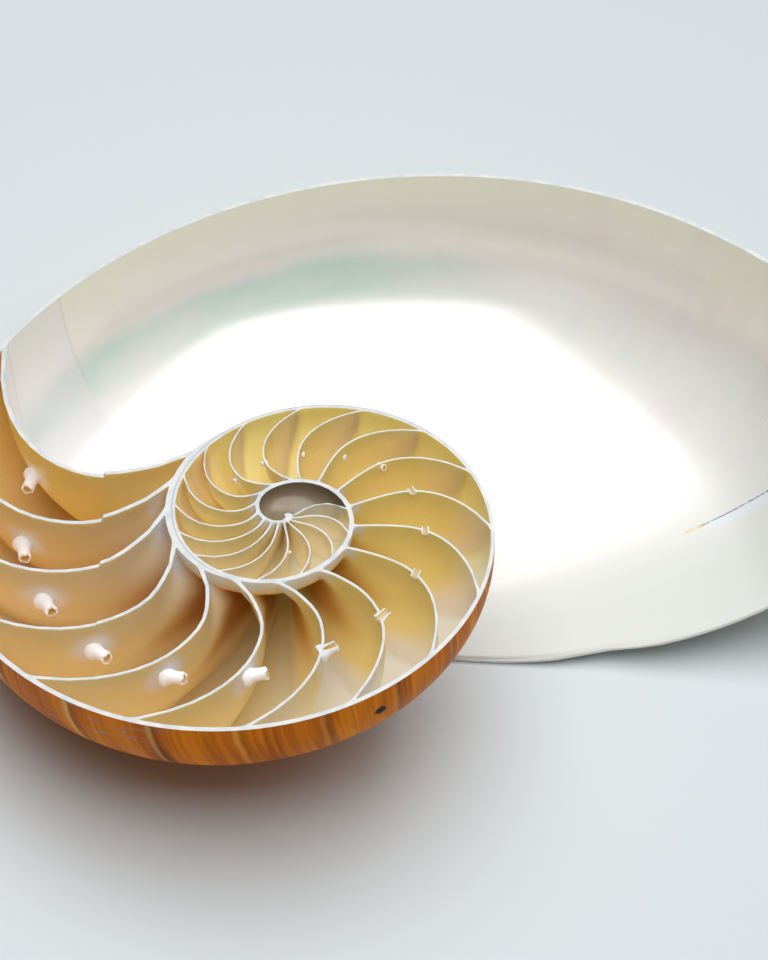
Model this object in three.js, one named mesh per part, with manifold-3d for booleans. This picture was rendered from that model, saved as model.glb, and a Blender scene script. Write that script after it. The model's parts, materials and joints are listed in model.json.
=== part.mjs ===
// Half of a chambered nautilus shell, sawn along its plane of coiling and lying on its flank, cut face up.
// Millimetres, +Z up. The origin is under the middle of the shell, on the surface it rests on.
// The shell is modelled about its coiling axis, with the saw cut in the plane z = 0 and the half below it:
// a filled outer form, from which each chamber is hollowed out. What is left between the hollows is the
// coiled wall and the septa. The half is then turned into the pose in which it lies at rest.

import * as THREE from 'three';
import { mergeVertices } from 'three/addons/utils/BufferGeometryUtils.js';
import Module from 'manifold-3d';

const { degToRad, radToDeg, lerp, smoothstep, clamp } = THREE.MathUtils;

// Spiral: the outer edge of the cut face. Angles are degrees back along the shell from its mouth.
const mouthRadius = 103.2;        // coiling axis to the outer edge at the mouth, before it flares
const whorlRatio = 3.128;         // growth of the radius in one whole turn
const mouthFlare = 0.078;         // share by which the radius opens out towards the mouth
const flareStart = 128;           // between these angles
const flareEnd = 38;
const mouthDirection = 5;         // bearing of the mouth's outer edge, anticlockwise from +X
const apexAngle = 965;            // the closed tip of the shell
const curlAngle = 830;            // from here to the tip the spiral tightens
const curlShrink = 0.25;          // share of the plain spiral's radius left at the tip

// Whorl section, as shares of the spiral's radius
const widestAt = 0.42;            // distance from the axis of the widest part of the flank
const mouthHalfWidth = 0.362;     // depth of the flank below the cut face, at the mouth
const whorlHalfWidth = 0.45;      // and in the whorls behind it
const narrowingAngle = 170;       // the shell narrows from here to its mouth
const ventralPower = 2.45;        // squareness of the rounded back
const shoulderRadius = 0.085;     // where the flank turns in to the umbilicus
const shoulderDepth = 0.72;       // its depth, as a share of the half width
const umbilicusRadius = 0.05;     // the pit of the umbilicus, closed by callus
const umbilicusDepth = 0.5;       // its depth, as a share of the half width
const hornPlace = 0.33;           // a chamber tapers out this far along the inner whorl's flank
const hornGap = 0.016;            // and is this deep there
const shoulderPlace = 0.7;        // where along the flank its hollow turns in to that horn

// Wall and septa
const wallThickest = 1.1;
const wallThinnest = 0.6;
const wallShare = 0.06;           // wall thickness as a share of the radius, between those two
const septumThickest = 1.0;
const septumThinnest = 0.5;
const septumShare = 0.02;
const septumThinAngle = 5;        // a septum thins towards the axis, to at most this many degrees each side
const lastSeptumAngle = 151.5;    // the deepest point of the last septum, the body chamber's floor
const firstSeptumAngle = 750;
const septumGaps = [              // spacing in degrees, back from the last septum
  { count: 2, gap: 18 },
  { count: 7, gap: 22 },
  { count: 6, gap: 23.4 },
  { count: 1, gap: 20.5 },
  { count: 5, gap: 19.4 },
  { count: 1, gap: 25 },
  { count: Infinity, gap: 28.5 },
];
const dishMiddle = 0.36;          // deepest point of a septum, a share from the inner whorl to the outer wall
const outerRise = 21;             // degrees that its rim runs ahead of that point at the outer wall
const flankRise = 24;             // at the end of the flank
const innerRise = 18;             // and at the inner whorl
const innerHook = 5;              // plus this, where its last quarter sweeps forward along that whorl
const hookStart = 0.75;
const squareRise = 4;             // which is less where the septa meet that whorl squarely
const squareFrom = [250, 335];    // over the stretch that begins and ends between these angles
const squareTo = [425, 465];
const lateralLobe = 8;            // how far its edge falls back along the flank, in degrees
const coreShare = 0.09;           // where the first whorl's chambers stop, as a share of the radius
const coreProfile = [[1.4, 0], [1.8, 2.5], [1.8, 5.5]];  // knot round the axis: radius at depths
const coreSides = 12;

// Siphuncle: a short neck behind each septum, round a hole. The saw ran off the middle plane, so the necks
// lie below the cut in the last chambers and in it further back.
const neckRadius = 1.1;
const neckFlare = 1.8;
const neckFlareLength = 1.4;
const neckBore = 0.7;
const neckLength = 3.4;
const neckRoot = 0.4;             // the neck starts this far inside its septum
const neckShare = 0.03;           // neck radius as a share of the whorl's radius, up to neckRadius
const lastNeckPlace = 0.65;       // share from the inner whorl to the outer wall, at the last septum
const lastNeckShift = [150, 200];
const neckPlace = 0.6;            // past these angles
const youngNeckPlace = 0.47;      // and in the inner whorls
const neckShift = [200, 450];     // it moves from one to the other between these angles
const neckSides = 6;
const firstNeckAngle = 305;       // earlier necks are finer than a millimetre
const siphuncleDepth = 8.9;       // below the cut, at the first of these angles
const siphuncleRise = [160, 290]; // and it comes up into the cut at the second

// Mouth: degrees that the lip stands ahead of a straight edge
const lipBulge = 8;               // on the flank
const lipPower = 2.4;             // more than 1 puts the most of it towards the umbilicus
const lipSinus = 10;              // less this, in the notch at the back of the whorl
const lipSinusShare = 0.4;        // share of the section that the notch takes up
const lipReach = 60;              // the growth lines follow the lip for this many degrees

// Facets
const ventralSteps = 7;
const flankSteps = 4;
const wallStep = 10;              // degrees
const coarseRadius = 22;          // chambers smaller than this have fewer facets
const fineGrid = { across: 6, along: 6, around: 2 };
const coarseGrid = { across: 4, along: 4, around: 2 };
const bodyGrid = { across: 4, along: 11, around: 13 };
const tipGrid = { across: 3, along: 4, around: 8 };
const tipAngle = 940;             // the first chamber's hollow ends here
const seamAngle = 180;            // the outer form is made in two stretches that overlap
const seamOverlap = 40;
const cutMargin = 3;              // material above the saw, before it is cut away
const mergeDistance = 1e-4;       // corners of a turned form closer than this are one
const mouthMargin = 3;            // degrees that the body chamber's hollow runs out past the lip
const mouthInnerMargin = 7;       // and this many more at the inner whorl, next to the cut
const mouthInnerShare = 0.45;
const mouthClearance = 0.4;       // and its gap there to the whorl inside it

// Pose at rest
const restTilt = 9.504;           // degrees that the cut face leans, down towards -X
const restTiltBearing = -100.89;  // bearing of the axis it is turned about

const growth = Math.log(whorlRatio) / 360;

function spiralRadius(angle) {
  const curl = lerp(1, curlShrink, smoothstep(angle, curlAngle, apexAngle));
  const flare = 1 + mouthFlare * (1 - smoothstep(angle, flareEnd, flareStart));
  return mouthRadius * Math.exp(-growth * angle) * curl * flare;
}

function wallThickness(radius) {
  return clamp(wallShare * radius, wallThinnest, wallThickest);
}

function halfWidth(angle) {
  return lerp(mouthHalfWidth, whorlHalfWidth, smoothstep(angle, 0, narrowingAngle));
}

// Outline of a half section at unit radius: share 0 is the back of the whorl, 1 the umbilical shoulder.
// x is the distance from the axis and y the depth below the cut face.
const flankStart = ventralSteps / (ventralSteps + flankSteps);

function sectionPoint(angle, share) {
  const width = halfWidth(angle);
  if (share <= flankStart) {
    const a = (share / flankStart) * Math.PI / 2;
    const power = 2 / ventralPower;
    return new THREE.Vector2(
      widestAt + (1 - widestAt) * Math.cos(a) ** power,
      width * Math.sin(a) ** power,
    );
  }
  const a = ((share - flankStart) / (1 - flankStart)) * Math.PI / 2;
  return new THREE.Vector2(
    widestAt - (widestAt - shoulderRadius) * Math.sin(a),
    width * lerp(shoulderDepth, 1, Math.cos(a)),
  );
}

const normalStep = 0.01;

function sectionNormal(angle, share) {
  const a = sectionPoint(angle, Math.max(0, share - normalStep));
  const b = sectionPoint(angle, Math.min(1, share + normalStep));
  const along = b.sub(a).normalize();
  return new THREE.Vector2(along.y, -along.x);
}

// A point of the wall of the whorl at an angle, a depth in from its outer face
function wallPoint(angle, share, inset) {
  const p = sectionPoint(angle, share).multiplyScalar(spiralRadius(angle));
  return p.addScaledVector(sectionNormal(angle, share), -inset);
}

function shellPoint(angle, distance, depth) {
  const bearing = degToRad(mouthDirection + angle);
  return new THREE.Vector3(distance * Math.cos(bearing), distance * Math.sin(bearing), -depth);
}

const wasm = await Module();
wasm.setup();

function solid(vertices, triangles) {
  const cross = new THREE.Vector3();
  let volume = 0;
  for (const [a, b, c] of triangles) {
    volume += cross.crossVectors(vertices[a], vertices[b]).dot(vertices[c]);
  }
  const facing = volume > 0 ? triangles : triangles.map(([a, b, c]) => [a, c, b]);
  const vertProperties = new Float32Array(vertices.flatMap((v) => [v.x, v.y, v.z]));
  const triVerts = new Uint32Array(facing.flat());
  return new wasm.Manifold(new wasm.Mesh({ numProp: 3, vertProperties, triVerts }));
}

function solidOf(geometry, matrix) {
  geometry.deleteAttribute('normal');
  geometry.deleteAttribute('uv');
  const merged = mergeVertices(geometry.applyMatrix4(matrix), mergeDistance);
  const position = merged.getAttribute('position');
  const vertices = [];
  for (let i = 0; i < position.count; i++) {
    vertices.push(new THREE.Vector3().fromBufferAttribute(position, i));
  }
  const index = [...merged.getIndex().array];
  const triangles = [];
  while (index.length) {
    const [a, b, c] = index.splice(0, 3);
    if (a !== b && b !== c && c !== a) triangles.push([a, b, c]);
  }
  return solid(vertices, triangles);
}

// Lip line: degrees that the wall is pushed forward at the mouth, fading back along the shell
function lipPush(angle, share) {
  const fade = clamp(1 - angle / lipReach, 0, 1) ** 2;
  const notch = clamp(1 - share / lipSinusShare, 0, 1) ** 2;
  return fade * (lipBulge * Math.sin(Math.PI * share ** lipPower) - lipSinus * notch);
}

// Outer form of a stretch of the last whorl, filled in to the axis. Each ring shares its two axis points,
// so they are merged into one at the top and one at the floor of the umbilicus.
function filledWhorl(from, to) {
  const steps = Math.round((to - from) / wallStep);
  const count = ventralSteps + flankSteps;
  const vertices = [new THREE.Vector3(0, 0, cutMargin)];
  const deepest = umbilicusDepth * halfWidth(to) * spiralRadius((from + to) / 2);
  vertices.push(new THREE.Vector3(0, 0, -deepest));
  const outlines = [];
  for (let j = 0; j <= steps; j++) {
    const angle = lerp(from, to, j / steps);
    const outline = [];
    for (let i = 0; i <= count; i++) {
      const pushed = angle - lipPush(angle, i / count);
      const p = wallPoint(pushed, i / count, 0);
      outline.push(shellPoint(pushed, p.x, p.y));
    }
    outline.unshift(outline[0].clone().setZ(cutMargin));
    const radius = spiralRadius(angle);
    outline.push(shellPoint(angle, umbilicusRadius * radius, umbilicusDepth * halfWidth(angle) * radius));
    outlines.push(outline);
    vertices.push(...outline);
  }
  const size = outlines[0].length;
  const at = (j, i) => 2 + j * size + i;
  const triangles = [];
  for (let j = 0; j < steps; j++) {
    triangles.push([0, at(j + 1, 0), at(j, 0)], [1, at(j, size - 1), at(j + 1, size - 1)]);
    for (let i = 0; i < size - 1; i++) {
      triangles.push([at(j, i), at(j + 1, i + 1), at(j, i + 1)], [at(j, i), at(j + 1, i), at(j + 1, i + 1)]);
    }
  }
  for (const j of [0, steps]) {
    const flat = outlines[j].map((p) => new THREE.Vector2(Math.hypot(p.x, p.y), p.z));
    flat.push(new THREE.Vector2(0, -deepest), new THREE.Vector2(0, cutMargin));
    const loop = [...outlines[j].keys()].map((i) => at(j, i));
    loop.push(1, 0);
    for (const [a, b, c] of THREE.ShapeUtils.triangulateShape(flat, [])) {
      triangles.push(j === 0 ? [loop[a], loop[c], loop[b]] : [loop[a], loop[b], loop[c]]);
    }
  }
  return solid(vertices, triangles);
}

function septumAngles() {
  const angles = [];
  let angle = lastSeptumAngle;
  for (const { count, gap } of septumGaps) {
    for (let i = 0; i < count && angle <= firstSeptumAngle; i++) {
      angles.push(angle);
      angle += gap;
    }
  }
  return angles;
}

// Degrees that the surface of the septum at an angle stands ahead of its deepest point
function dish(middle, across, share) {
  const outward = across > dishMiddle;
  const x = (across - dishMiddle) / (outward ? 1 - dishMiddle : dishMiddle);
  const square = smoothstep(middle, ...squareFrom) * (1 - smoothstep(middle, ...squareTo));
  const rise = outward ? outerRise : lerp(innerRise, squareRise, square);
  const lobe = lateralLobe * (x * Math.sin(Math.PI * share)) ** 2;
  const hook = outward ? 0 : innerHook * (1 - square) * (Math.max(0, -x - hookStart) / (1 - hookStart)) ** 2;
  return (rise * x * x + hook) * (1 - share * share) + flankRise * share * share - lobe;
}

// Outer and inner limits of the hollow in a whorl: its wall's inner face, and the whorl inside it
function hollowLimits(angle, share) {
  const radius = spiralRadius(angle);
  const thickness = wallThickness(radius);
  const before = angle + 360;
  if (before > apexAngle) {
    const outer = wallPoint(angle, share, thickness);
    return { outer, inner: outer.clone().multiplyScalar(coreShare) };
  }
  const hornShare = lerp(flankStart, 1, hornPlace);
  const inner = wallPoint(before, share * hornShare, 0);
  if (share <= flankStart) return { outer: wallPoint(angle, share, thickness), inner };
  const shoulder = wallPoint(angle, 1, thickness);
  const horn = wallPoint(before, hornShare, -hornGap * radius);
  const turnIn = lerp(flankStart, 1, shoulderPlace);
  if (share <= turnIn) {
    const flank = flankStart + (share - flankStart) / (turnIn - flankStart) * (1 - flankStart);
    return { outer: wallPoint(angle, flank, thickness), inner };
  }
  return { outer: shoulder.lerp(horn, (share - turnIn) / (1 - turnIn)), inner };
}

// A point inside a whorl: across runs from the inner whorl to the outer wall
function hollowPoint(angle, across, share) {
  const { inner, outer } = hollowLimits(angle, share);
  return inner.lerp(outer, across);
}

// Angle of a septum's front (-1) or back (1) face
function septumFace(middle, across, share, side) {
  const angle = middle - dish(middle, across, share);
  const radius = spiralRadius(angle);
  const p = hollowPoint(angle, across, share);
  const thickness = clamp(septumShare * radius, septumThinnest, septumThickest);
  return angle + side * Math.min(septumThinAngle, radToDeg(thickness / 2 / p.x));
}

// Closed body over a block of points given by layer, row and column
function block(layers, rows, columns, point) {
  const vertices = [];
  const index = new Map();
  const at = (k, r, c) => {
    const key = `${k},${r},${c}`;
    if (!index.has(key)) index.set(key, vertices.push(point(k, r, c)) - 1);
    return index.get(key);
  };
  const triangles = [];
  const quad = (a, b, c, d) => triangles.push([a, b, c], [a, c, d]);
  for (let r = 0; r < rows; r++) {
    for (let c = 0; c < columns; c++) {
      quad(at(0, r, c), at(0, r + 1, c), at(0, r + 1, c + 1), at(0, r, c + 1));
      quad(at(layers, r, c), at(layers, r, c + 1), at(layers, r + 1, c + 1), at(layers, r + 1, c));
    }
  }
  for (let k = 0; k < layers; k++) {
    for (let c = 0; c < columns; c++) {
      quad(at(k, 0, c), at(k, 0, c + 1), at(k + 1, 0, c + 1), at(k + 1, 0, c));
      quad(at(k, rows, c), at(k + 1, rows, c), at(k + 1, rows, c + 1), at(k, rows, c + 1));
    }
    for (let r = 0; r < rows; r++) {
      quad(at(k, r, 0), at(k + 1, r, 0), at(k + 1, r + 1, 0), at(k, r + 1, 0));
      quad(at(k, r, columns), at(k, r + 1, columns), at(k + 1, r + 1, columns), at(k + 1, r, columns));
    }
  }
  return solid(vertices, triangles);
}

// Hollow between two end surfaces, each a function of across and share that gives an angle.
// Its first column stands above the saw cut, over the second.
function hollow(frontAngle, backAngle, { across, along, around }, frontClearance = 0) {
  return block(around, across, along + 1, (k, r, c) => {
    const a = r / across;
    const s = Math.max(0, c - 1) / along;
    const angle = lerp(frontAngle(a, s), backAngle(a, s), k / around);
    const p = hollowPoint(angle, a, s);
    const gap = k === 0 ? frontClearance * (1 - a) : 0;
    return shellPoint(angle, p.x + gap, c === 0 ? -cutMargin : p.y + gap);
  });
}

// Where the body chamber's hollow ends, in front of the lip
function mouthAngle(across, share) {
  const inner = (1 - across) * Math.max(0, 1 - share / mouthInnerShare);
  return -lipPush(0, share) - mouthMargin - mouthInnerMargin * inner;
}

function chambers(septa) {
  const grid = (angle) => (spiralRadius(angle) > coarseRadius ? fineGrid : coarseGrid);
  const bodyChamber = hollow(
    mouthAngle,
    (a, s) => septumFace(septa[0], a, s, -1),
    bodyGrid,
    mouthClearance,
  );
  const hollows = septa.slice(0, -1).map((middle, i) => hollow(
    (a, s) => septumFace(middle, a, s, 1),
    (a, s) => septumFace(septa[i + 1], a, s, -1),
    grid(middle),
  ));
  const first = septa[septa.length - 1];
  const firstChamber = hollow((a, s) => septumFace(first, a, s, 1), () => tipAngle, tipGrid);
  return [bodyChamber, ...hollows, firstChamber];
}

function neckPoint(middle) {
  const grownPlace = lerp(lastNeckPlace, neckPlace, smoothstep(middle, ...lastNeckShift));
  const place = lerp(grownPlace, youngNeckPlace, smoothstep(middle, ...neckShift));
  const angle = middle - dish(middle, place, 0);
  const [deepest, highest] = siphuncleRise;
  const depth = siphuncleDepth * clamp((highest - middle) / (highest - deepest), 0, 1);
  return shellPoint(angle, hollowPoint(angle, place, 0).x, depth);
}

function neck(middle) {
  const size = Math.min(1, neckShare * spiralRadius(middle) / neckRadius);
  const base = neckPoint(middle);
  const backward = neckPoint(middle + 1).sub(base).normalize();
  const turn = new THREE.Quaternion().setFromUnitVectors(new THREE.Vector3(0, 1, 0), backward);
  const pose = new THREE.Matrix4().compose(base, turn, new THREE.Vector3(size, size, size));
  const outline = [
    [0, -neckRoot], [neckFlare, -neckRoot], [neckFlare, neckRoot],
    [neckRadius, neckFlareLength], [neckRadius, neckLength], [0, neckLength],
  ].map(([x, y]) => new THREE.Vector2(x, y));
  const drill = new THREE.CylinderGeometry(neckBore, neckBore, 3 * neckLength, neckSides);
  return {
    tube: solidOf(new THREE.LatheGeometry(outline, neckSides), pose),
    bore: solidOf(drill, pose),
  };
}

// Solid knot on the axis, where the whorls' inner ends run together
function core() {
  const [top] = coreProfile;
  const bottom = coreProfile[coreProfile.length - 1];
  const profile = [[0, -cutMargin], [top[0], -cutMargin], ...coreProfile, [0, bottom[1]]];
  const outline = profile.map(([distance, depth]) => new THREE.Vector2(distance, -depth));
  return solidOf(new THREE.LatheGeometry(outline, coreSides), new THREE.Matrix4().makeRotationX(Math.PI / 2));
}

function shellSolid() {
  const septa = septumAngles();
  const necks = septa.filter((angle) => angle < firstNeckAngle).map(neck);
  let shell = filledWhorl(0, seamAngle).add(filledWhorl(seamAngle, 360 + seamOverlap));
  for (const chamber of chambers(septa)) shell = shell.subtract(chamber);
  shell = shell.add(core());
  for (const { tube } of necks) shell = shell.add(tube);
  for (const { bore } of necks) shell = shell.subtract(bore);
  const span = 4 * mouthRadius;
  const belowSaw = new THREE.Matrix4().makeTranslation(0, 0, -span / 2);
  return shell.intersect(solidOf(new THREE.BoxGeometry(span, span, span), belowSaw));
}

function geometryOf(manifold) {
  const { vertProperties, triVerts } = manifold.getMesh();
  const geometry = new THREE.BufferGeometry();
  geometry.setAttribute('position', new THREE.BufferAttribute(Float32Array.from(vertProperties), 3));
  geometry.setIndex(new THREE.BufferAttribute(Uint32Array.from(triVerts), 1));
  geometry.computeVertexNormals();
  return geometry;
}

const nacreAndAmber = new THREE.MeshStandardMaterial({ color: 0xd9b98c, roughness: 0.45, metalness: 0 });
const shellHalf = new THREE.Mesh(geometryOf(shellSolid()), nacreAndAmber);
shellHalf.name = 'shell_half';

const bearing = degToRad(restTiltBearing);
const tiltAxis = new THREE.Vector3(Math.cos(bearing), Math.sin(bearing), 0);
shellHalf.quaternion.setFromAxisAngle(tiltAxis, degToRad(restTilt));
const box = new THREE.Box3().setFromObject(shellHalf, true);
const centre = box.getCenter(new THREE.Vector3());
shellHalf.position.set(-centre.x, -centre.y, -box.min.z);

const nautilus = new THREE.Group();
nautilus.add(shellHalf);

export default nautilus;
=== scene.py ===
import bpy
import json
import math
from mathutils import Matrix, Vector


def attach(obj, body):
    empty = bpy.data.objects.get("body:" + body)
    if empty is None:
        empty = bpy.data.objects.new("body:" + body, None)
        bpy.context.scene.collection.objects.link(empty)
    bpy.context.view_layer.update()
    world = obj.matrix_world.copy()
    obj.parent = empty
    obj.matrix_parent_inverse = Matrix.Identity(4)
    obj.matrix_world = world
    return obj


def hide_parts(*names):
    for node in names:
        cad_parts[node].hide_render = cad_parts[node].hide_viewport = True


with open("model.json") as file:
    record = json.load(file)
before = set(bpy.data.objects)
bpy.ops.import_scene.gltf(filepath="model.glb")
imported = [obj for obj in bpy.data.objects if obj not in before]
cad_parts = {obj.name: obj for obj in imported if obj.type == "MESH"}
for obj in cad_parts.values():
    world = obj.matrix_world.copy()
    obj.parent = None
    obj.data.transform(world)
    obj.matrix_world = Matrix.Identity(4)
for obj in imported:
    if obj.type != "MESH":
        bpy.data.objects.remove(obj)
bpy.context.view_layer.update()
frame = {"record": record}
print("frame loaded")

# the sawn face gives the coiling axis and the lean of the cut; the shell is shaped in mm about that axis
sawnFace = frame["record"]["mounts"][0]
pole = Vector(sawnFace["pos_m"])
cutNormal = Vector(sawnFace["axis"]).normalized()
lean = Vector((0, 0, 1)).rotation_difference(cutNormal)
metre = 1000.0
shellToWorld = Matrix.Translation(pole) @ lean.to_matrix().to_4x4() @ Matrix.Scale(1 / metre, 4)

# angles are degrees back along the coil from the mouth, lengths mm
spiral = {
    "mouthRadius": 103.2,
    "whorlRatio": 3.128,
    "mouthFlare": 0.078,     # opens out towards the mouth
    "flareStart": 128.0,
    "flareEnd": 38.0,
    "mouthDirection": 5.0,
    "apexAngle": 965.0,
    "curlAngle": 830.0,      # from here the first turn tightens
    "curlShrink": 0.25,
}
# the whorl's section, in shares of the spiral's radius
section = {
    "widestAt": 0.42,
    "mouthHalfWidth": 0.362,
    "whorlHalfWidth": 0.45,
    "narrowingAngle": 170.0,
    "ventralPower": 2.45,    # squareness of the rounded back
    "flankStart": 7 / 11,
    "shoulderRadius": 0.085,
    "shoulderDepth": 0.72,
    "pitRadius": 0.05,       # umbilicus
    "pitDepth": 0.5,
}
wall = {
    "outer": 0.8,            # of the last whorl
    "inner": 0.55,           # of the whorls inside it
    "thinning": (270.0, 360.0),
    "lip": 1.25,             # thickness behind the mouth's edge
    "lipTaper": (-2.0, 25.0),
    "lipRound": 0.42,        # taken off inside and outside at the very edge
    "lipRoundOver": (-0.2, 1.1),
    "dorsalLayer": 0.12,     # pearl laid over the whorl inside, in the body chamber
    "lastLayer": 1.1,        # in the last chambers
    "lastLayerFrom": (108.0, 128.0),
    "lastLayerTo": (185.0, 240.0),
    "youngLayer": 0.18,      # and in those before them
}
mouth = {
    "bulge": 8.0,            # degrees that the flank's lip stands ahead
    "power": 2.4,            # most of it towards the umbilicus
    "wave": 0.8,             # a dent in the lip
    "waveAt": 0.615,
    "waveWidth": 0.025,
    "sinus": 10.0,           # notch at the back of the whorl
    "sinusShare": 0.4,
    "reach": 60.0,           # degrees over which growth lines follow the lip
    "margin": 1.6,           # degrees that the body chamber's hollow runs out past the lip
    "innerMargin": 7.0,      # more at the inner whorl
    "innerShare": 0.45,
    "clearance": 0.4,        # gap there to the inner whorl
    "rimCells": 9,           # finer rings at the lip
    "rimShare": 0.025,
}
septa = {
    "last": 151.5,
    "first": 750.0,
    "gaps": [(2, 18.0), (7, 22.0), (6, 23.4), (1, 20.5), (5, 19.4), (1, 25.0), (99, 28.5)],
    "thickest": 0.68,
    "thinnest": 0.27,
    "share": 0.0106,         # of the radius, between those two
    "thinAngle": 5.0,        # most degrees that half a septum takes near the axis
    "steepest": 2.6,         # most that a slope along the coil widens a septum
    "dishMiddle": 0.36,      # deepest point, from the inner whorl to the outer wall
    "outerRise": 21.0,       # degrees that the rim stands ahead there
    "flankRise": 24.0,
    "innerRise": 18.0,
    "innerHook": 5.0,        # the last quarter sweeps forward along the inner whorl
    "hookStart": 0.75,
    "squareRise": 4.0,       # at the inner whorl where the septa meet it squarely
    "squareFrom": (250.0, 335.0),
    "squareTo": (425.0, 465.0),
    "lateralLobe": 8.0,      # degrees that the edge falls back along the flank
    "hornPlace": 0.33,       # a chamber tapers out this far along the inner whorl's flank
    "hornGap": 0.016,
    "shoulderPlace": 0.7,    # where along the flank it turns in to that horn
    "coreShare": 0.09,       # where the first whorl's chambers stop
    "crowding": 0.5,         # grid columns crowd towards the cut
    "fillet": 0.6,           # rounded corners of a chamber
    "filletRadius": 40.0,    # smaller in whorls below this radius
    "filletCells": 3,
    "mostAcross": 0.3,       # most of a chamber's depth and length that a fillet takes
    "mostAlong": 0.35,
    "tipAngle": 940.0,       # end of the first chamber
}
necks = {
    "radius": 1.05,
    "flare": 1.75,
    "flareLength": 1.4,
    "bore": 0.72,
    "length": 3.3,
    "root": 0.4,
    "wornRoot": 1.1,
    "share": 0.03,
    "lastPlace": 0.67,       # share from the inner whorl to the outer wall, at the last septum
    "lastShift": (150.0, 200.0),
    "place": 0.6,
    "youngPlace": 0.47,
    "shift": (200.0, 450.0),
    "depth": 9.4,            # below the cut at the first of these angles, in it at the second
    "rise": (172.0, 284.0),
    "above": 0.15,           # and a little over it up to the inner whorls
    "aboveTo": (370.0, 400.0),
    "youngDepth": 0.09,      # below it again in the first whorls, share of the radius
    "young": (365.0, 420.0),
    "worn": (250.0, 330.0),  # sawn and broken short from here on
    "wornSize": 0.58,
    "wornLength": 0.5,
    "lost": (490.0, 605.0),
    "ragged": 0.2,
    "halo": 5.0,             # milky ring on the septum round the neck, mm
    "sides": 20,
    "smallest": 5.5,         # whorl radius below which necks are lost
}
saw = {
    "margin": 3.0,
    "stepDepth": 0.75,       # a second pass of the blade left a shallow step
    "stepAt": -31.5,
    "stepFrom": -34.0,
    "stepTo": 46.0,
    "stepRise": 0.9,
    "stepShape": (1.15, 1.5),
    "stepSkew": 3.0,
    "stepSkewAt": 0.35,
    "stepEnd": -90.0,
    "span": 400.0,
}
mesh = {
    "wallStep": 2.5,
    "leadAngle": 2.0,        # the second stretch starts this far inside the first
    "leadInset": 0.4,
    "lipRings": 7,
    "lipBand": 1.6,
    "sectionSteps": 44,
    "pitSteps": 5,
    "fineRadius": 22.0,
    "fine": (20, 22, 10),
    "coarse": (14, 14, 8),
    "body": (18, 40, 72),
    "tip": (10, 16, 24),
    "mergeDistance": 0.0005,
    "smoothAngle": 38.0,
}
growth = math.log(spiral["whorlRatio"]) / 360
slopeStep = 0.01
finishes = ["outside", "nacre", "amber", "firstChamber", "sawn", "neck"]


def lerp(a, b, t):
    return a + (b - a) * t


def clamp(x, low, high):
    return max(low, min(high, x))


def smoothStep(x, low, high):
    t = clamp((x - low) / (high - low), 0, 1)
    return t * t * (3 - 2 * t)


def spiralRadius(angle):
    curl = lerp(1, spiral["curlShrink"], smoothStep(angle, spiral["curlAngle"], spiral["apexAngle"]))
    flare = 1 + spiral["mouthFlare"] * (1 - smoothStep(angle, spiral["flareEnd"], spiral["flareStart"]))
    return spiral["mouthRadius"] * math.exp(-growth * angle) * curl * flare


def lipRounding(angle, share):
    behindLip = angle + lipPush(0, share)
    return wall["lipRound"] * (1 - smoothStep(behindLip, *wall["lipRoundOver"]))


def wallThickness(angle, share):
    thick = lerp(wall["outer"], wall["inner"], smoothStep(angle, *wall["thinning"]))
    return lerp(wall["lip"], thick, smoothStep(angle, *wall["lipTaper"])) - lipRounding(angle, share)


def dorsalLayer(angle):
    last = smoothStep(angle, *wall["lastLayerFrom"])
    young = smoothStep(angle, *wall["lastLayerTo"])
    return lerp(lerp(wall["dorsalLayer"], wall["lastLayer"], last), wall["youngLayer"], young)


def sectionPoint(angle, share):
    width = lerp(section["mouthHalfWidth"], section["whorlHalfWidth"],
                 smoothStep(angle, 0, section["narrowingAngle"]))
    start = section["flankStart"]
    middle = section["widestAt"]
    if share <= start:
        a = share / start * math.pi / 2
        power = 2 / section["ventralPower"]
        return (middle + (1 - middle) * max(0, math.cos(a)) ** power, width * math.sin(a) ** power)
    a = (share - start) / (1 - start) * math.pi / 2
    return (middle - (middle - section["shoulderRadius"]) * math.sin(a),
            width * lerp(section["shoulderDepth"], 1, math.cos(a)))


def wallPoint(angle, share, inset):
    radius = spiralRadius(angle)
    x, y = sectionPoint(angle, share)
    x0, y0 = sectionPoint(angle, max(0, share - slopeStep))
    x1, y1 = sectionPoint(angle, min(1, share + slopeStep))
    size = math.hypot(x1 - x0, y1 - y0)
    return (x * radius - (y1 - y0) / size * inset, y * radius + (x1 - x0) / size * inset)


def shellPoint(angle, distance, depth):
    bearing = math.radians(spiral["mouthDirection"] + angle)
    return Vector((distance * math.cos(bearing), distance * math.sin(bearing), -depth))


def lipPush(angle, share):
    fade = clamp(1 - angle / mouth["reach"], 0, 1) ** 2
    notch = clamp(1 - share / mouth["sinusShare"], 0, 1) ** 2
    dent = mouth["wave"] * math.exp(-((share - mouth["waveAt"]) / mouth["waveWidth"]) ** 2)
    bulge = mouth["bulge"] * math.sin(math.pi * share ** mouth["power"])
    return fade * (bulge - mouth["sinus"] * notch - dent)


def septumAngles():
    angles = []
    angle = septa["last"]
    for count, gap in septa["gaps"]:
        for i in range(count):
            if angle <= septa["first"]:
                angles.append(angle)
                angle += gap
    return angles


# degrees that a septum's surface stands ahead of its deepest point
def dish(middle, across, share):
    deepest = septa["dishMiddle"]
    outward = across > deepest
    x = (across - deepest) / (1 - deepest if outward else deepest)
    square = smoothStep(middle, *septa["squareFrom"]) * (1 - smoothStep(middle, *septa["squareTo"]))
    rise = septa["outerRise"] if outward else lerp(septa["innerRise"], septa["squareRise"], square)
    lobe = septa["lateralLobe"] * (x * math.sin(math.pi * share)) ** 2
    hook = 0 if outward else max(0, -x - septa["hookStart"]) / (1 - septa["hookStart"])
    rise = rise * x * x + septa["innerHook"] * (1 - square) * hook * hook
    return rise * (1 - share * share) + septa["flankRise"] * share * share - lobe


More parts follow.
